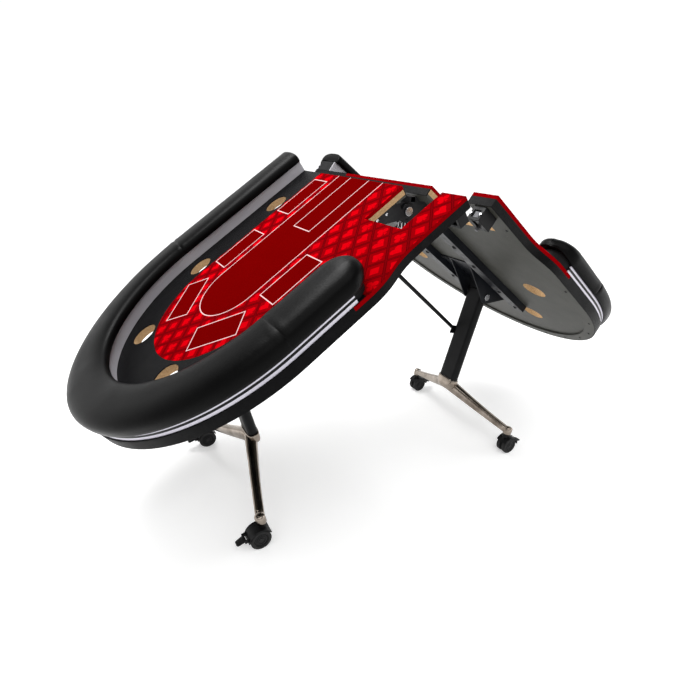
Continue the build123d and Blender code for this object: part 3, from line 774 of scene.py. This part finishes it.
def foot_arm(bm, side, hand):
    """One arm: out and down from the hub, thinning towards the caster."""
    start = Vector((0.004, 0.0, -COLUMN_LONG - 0.029))
    end = Vector((FOOT_OUT, hand * FOOT_SPREAD, -COLUMN_LONG - FOOT_DROP - 0.001))
    along = (end - start).normalized()
    rings = []
    for k in range(ARM_STEPS + 1):
        t = k / ARM_STEPS
        bow = math.sin(math.pi * t)
        p = start.lerp(end, t) + Vector((0.003, 0, -0.004)) * bow
        wide = 0.0255 * (1 - t) + 0.0165 * t - 0.0025 * bow
        deep = 0.0280 * (1 - t) ** 1.3 + 0.0150 * (1 - (1 - t) ** 1.3)
        if k in (0, ARM_STEPS):
            wide *= 0.8
            deep *= 0.8
        across = Vector((1, 0, 0)) - along * along.x
        across.normalize()
        up = along.cross(across)
        ring = rounded_ring(p, across, up, wide, deep)
        rings.append([on_leg(side, *q) for q in ring])
    join_rings(bm, rings)


def foot_hub(bm, side):
    """The socket that takes the bottom of the column."""
    rings = []
    for z, wide, thick in ((-0.0010, 0.0555, 0.0225), (0.0, 0.0575, 0.0245), (-0.0060, 0.0585, 0.0252),
                           (-0.0300, 0.0580, 0.0250), (-0.0430, 0.0500, 0.0235), (-0.0520, 0.0360, 0.0200),
                           (-0.0560, 0.0200, 0.0130)):
        centre = Vector((0.0, 0.0, -COLUMN_LONG + z))
        ring = rounded_ring(centre, Vector((0, 1, 0)), Vector((1, 0, 0)), wide, thick, 3.0, 48)
        rings.append([on_leg(side, *q) for q in ring])
    join_rings(bm, rings)


def foot(name, side):
    bm = bmesh.new()
    foot_hub(bm, side)
    bottom = -COLUMN_LONG - FOOT_DROP
    down = (on_leg(side, 0, 0, -1) - on_leg(side, 0, 0, 0)).normalized()
    for hand in (-1, 1):
        foot_arm(bm, side, hand)
        top = on_leg(side, FOOT_OUT, hand * FOOT_SPREAD, bottom + 0.017)
        boss = ((0.006, -0.0035), (0.012, -0.0022), (0.0165, 0.001), (0.019, 0.006), (0.019, 0.031),
                (0.0178, 0.0335), (0.0160, 0.0344))
        lathe(bm, top, down, boss, 36)
    turn_out(bm)
    obj = piece(f"{name}_foot_casting", bm, FOOT_METAL, f"{name}_leg")
    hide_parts(f"{name}_foot")


# ---------------------------------------------------------------- fasteners

SCREW = ((0.0005, 0.0003), (0.0018, 0.0003), (0.0018, 0.0018), (0.0030, 0.0021), (0.0046, 0.0014),
         (0.0054, 0.0004), (0.0055, -0.0006))
BOLT = ((0.0005, 0.0016), (0.0028, 0.0016), (0.0028, 0.0042), (0.0060, 0.0045), (0.0072, 0.0038),
        (0.0078, 0.0026), (0.0078, 0.0012), (0.0110, 0.0011), (0.0110, -0.0004))


def under_screws(name, side):
    """Screws up through the leg bracket, the beams and the frame round the edge."""
    bm = bmesh.new()
    down = (at(side, 0, 0, -1) - at(side, 0, 0, 0)).normalized()
    for u in (0.545, 0.640, 0.860):
        for v in (-0.112, -0.085, 0.085, 0.112):
            lathe(bm, at(side, u, v, BASE_BOTTOM - 0.005), down, BOLT)
    for u in (0.330, 0.480, 0.700, 0.850):
        for v in (-0.150, 0.150):
            lathe(bm, at(side, u, v, BEAM_BOTTOM), down, BOLT)
    for u, v in edge_screw_places():
        lathe(bm, at(side, u, v, FRAME_BOTTOM), down, SCREW, 18)
    turn_out(bm)
    piece(f"{name}_under_screws", bm, HINGE_COAT, f"{name}_half")


def edge_screw_places():
    reach = 0.566
    places = [(0.060 + 0.113 * k, reach) for k in range(6)]
    for k in range(1, 12):
        a = math.pi / 2 - math.pi * k / 12
        places.append((END_CENTRE + reach * math.cos(a), reach * math.sin(a)))
    places += [(0.500, -reach), (0.130, -0.527)]
    return places + [(0.0225, v) for v in (-0.140, 0.0, 0.140, 0.330, 0.470)]


def leaf_screws(name, side):
    """Countersunk screws in each hinge leaf, on its open face."""
    bm = bmesh.new()
    for y in (-0.200, 0.200):
        face = y + side * 0.0205
        for u, n in ((0.075, -0.060), (0.115, -0.055), (0.155, -0.047)):
            lathe(bm, at(side, u, face, n), Vector((0, side, 0)), SCREW, 18)
    turn_out(bm)
    piece(f"{name}_leaf_screws", bm, CHROME, f"{name}_half")


def wheel_caps(name, place):
    """Ribbed caps in the dished faces of the twin wheels."""
    low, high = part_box(f"{name}_{place}_caster_wheels")
    middle = (Vector(low) + Vector(high)) / 2
    half = (high[1] - low[1]) / 2
    bm = bmesh.new()
    for way in (-1, 1):
        face = middle + Vector((0, way * (half - 0.003), 0))
        profile = ((0.0010, 0.0022), (0.0075, 0.0022), (0.0088, 0.0012), (0.0120, 0.0012), (0.0135, 0.0024),
                   (0.0165, 0.0024), (0.0180, 0.0012), (0.0215, 0.0012), (0.0225, 0.0022), (0.0245, 0.0016),
                   (0.0250, -0.0006))
        lathe(bm, face, Vector((0, way, 0)), profile, 48)
    turn_out(bm)
    piece(f"{name}_{place}_wheel_caps", bm, PLASTIC, f"{name}_{place}_wheels")


PEDAL_LOOP = (
    (0.0440, 0.0252, 0.0140, 0.0024), (0.0455, 0.0252, 0.0150, 0.0048), (0.0500, 0.0252, 0.0152, 0.0062),
    (0.0565, 0.0240, 0.0152, 0.0052), (0.0660, 0.0222, 0.0148, 0.0040), (0.0740, 0.0214, 0.0138, 0.0034),
    (0.0785, 0.0216, 0.0115, 0.0028), (0.0800, 0.0218, 0.0090, 0.0012),
)


def pedal(name, side, place):
    """The brake pedal: a wedge-shaped moulding with a dished, ribbed tread."""
    low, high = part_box(f"{name}_{place}_caster_wheels")
    middle = (Vector(low) + Vector(high)) / 2
    out = on_leg(side, 1, 0, 0) - on_leg(side, 0, 0, 0)
    up = on_leg(side, 0, 0, 1) - on_leg(side, 0, 0, 0)
    bm = bmesh.new()
    rings = []
    for x, z, wide, deep in PEDAL_LOOP:
        rings.append(rounded_ring(middle + out * x + up * z, Vector((0, 1, 0)), up, wide, deep, 3.0, 24))
    join_rings(bm, rings)
    for x in (0.060, 0.065, 0.070):
        ribs = []
        for t in (-1, -0.8, 0.8, 1):
            rib = 0.0009 if abs(t) == 1 else 0.0014
            place_at = middle + out * x + up * (0.0258 - (x - 0.058) * 0.06) + Vector((0, t * 0.011, 0))
            ribs.append(rounded_ring(place_at, out, up, rib, rib, 2.0, 10))
        join_rings(bm, ribs)
    lathe(bm, middle + out * 0.047 + up * 0.025 - Vector((0, 0.019, 0)), Vector((0, 1, 0)),
          ((0.0015, 0.0), (0.0023, 0.0006), (0.0023, 0.0374), (0.0015, 0.038)), 16)
    turn_out(bm)
    obj = piece(f"{name}_{place}_pedal_moulding", bm, PLASTIC, f"{name}_{place}_pedal")
    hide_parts(f"{name}_{place}_brake_pedal")


for name, side in SIDES:
    rail_pad(name, side)
    stretched_cloth(name)
    foot(name, side)
    under_screws(name, side)
    leaf_screws(name, side)
    for place in ("near", "far"):
        wheel_caps(name, place)
        pedal(name, side, place)


# ---------------------------------------------------------------- floor, light and camera

def pale_floor():
    f = Finish("pale_floor", rough=0.9, specular=0.1)
    tone = f.spread(f.noise(0.7, 2.0), 0.3, 0.7)
    f.put("Base Color", f.mix(tone, (0.86, 0.86, 0.86), (0.90, 0.90, 0.90)))
    f.put("Emission Color", (1.0, 1.0, 1.0, 1))
    f.put("Emission Strength", 0.34)
    bm = bmesh.new()
    bmesh.ops.create_grid(bm, x_segments=4, y_segments=4, size=30)
    mesh = bpy.data.meshes.new("floor")
    bm.to_mesh(mesh)
    bm.free()
    floor = bpy.data.objects.new("floor", mesh)
    bpy.context.scene.collection.objects.link(floor)
    mesh.materials.append(f.material)


def area_light(name, place, target, size, power):
    data = bpy.data.lights.new(name, "AREA")
    data.shape = "RECTANGLE"
    data.size = size[0]
    data.size_y = size[1]
    data.energy = power
    obj = bpy.data.objects.new(name, data)
    bpy.context.scene.collection.objects.link(obj)
    obj.location = place
    obj.rotation_euler = (Vector(target) - Vector(place)).to_track_quat("-Z", "Y").to_euler()


# The room is white up to a low height and darker overhead. Heights are of the view direction.
ROOM_FADE = (("From Min", 0.30), ("From Max", 0.75), ("To Min", 1.03), ("To Max", 0.35))
ROOM_LIGHT = 1.5
ROOM_SOFTNESS = math.radians(60)
ROOM_TURN = (math.radians(18), math.radians(-14), 0)


def studio():
    world = bpy.data.worlds.new("studio")
    bpy.context.scene.world = world
    world.use_nodes = True
    back = world.node_tree.nodes["Background"]
    back.inputs["Color"].default_value = (1.0, 1.0, 1.0, 1)
    sky = world.node_tree.nodes.new("ShaderNodeTexCoord")
    height = world.node_tree.nodes.new("ShaderNodeSeparateXYZ")
    dimmer = world.node_tree.nodes.new("ShaderNodeMapRange")
    world.node_tree.links.new(sky.outputs["Generated"], height.inputs[0])
    world.node_tree.links.new(height.outputs["Z"], dimmer.inputs["Value"])
    world.node_tree.links.new(dimmer.outputs[0], back.inputs["Strength"])
    for name, number in ROOM_FADE:
        dimmer.inputs[name].default_value = number
    area_light("overhead", (-0.9, 1.4, 3.4), (0, 0, 0.7), (2.4, 1.0), 95)
    area_light("side_strip", (3.2, -1.6, 1.3), (0.4, 0, 0.7), (1.2, 2.4), 18)
    data = bpy.data.lights.new("room", "SUN")
    data.energy = ROOM_LIGHT
    data.angle = ROOM_SOFTNESS
    room = bpy.data.objects.new("room", data)
    room.rotation_euler = ROOM_TURN
    bpy.context.scene.collection.objects.link(room)
    bpy.context.scene.view_settings.view_transform = "Standard"


CAMERA_PLACE = Vector((-1.0132, -1.5387, 1.2942))
CAMERA_YAW = 31.564
CAMERA_PITCH = 23.573
CAMERA_ROLL = 2.731
CAMERA_LENS = 24.35


def camera():
    yaw, pitch, roll = (math.radians(a) for a in (CAMERA_YAW, CAMERA_PITCH, CAMERA_ROLL))
    forward = Vector((math.sin(yaw) * math.cos(pitch), math.cos(yaw) * math.cos(pitch), -math.sin(pitch)))
    right = Vector((math.cos(yaw), -math.sin(yaw), 0))
    up = right.cross(forward)
    turned_right = right * math.cos(roll) + up * math.sin(roll)
    turned_up = up * math.cos(roll) - right * math.sin(roll)
    rotation = Matrix((turned_right, turned_up, -forward)).transposed()
    data = bpy.data.cameras.new("camera")
    data.lens = CAMERA_LENS
    data.sensor_width = 36
    obj = bpy.data.objects.new("camera", data)
    obj.matrix_world = Matrix.Translation(CAMERA_PLACE) @ rotation.to_4x4()
    bpy.context.scene.collection.objects.link(obj)
    bpy.context.scene.camera = obj


pale_floor()
studio()
camera()

bpy.context.view_layer.update()
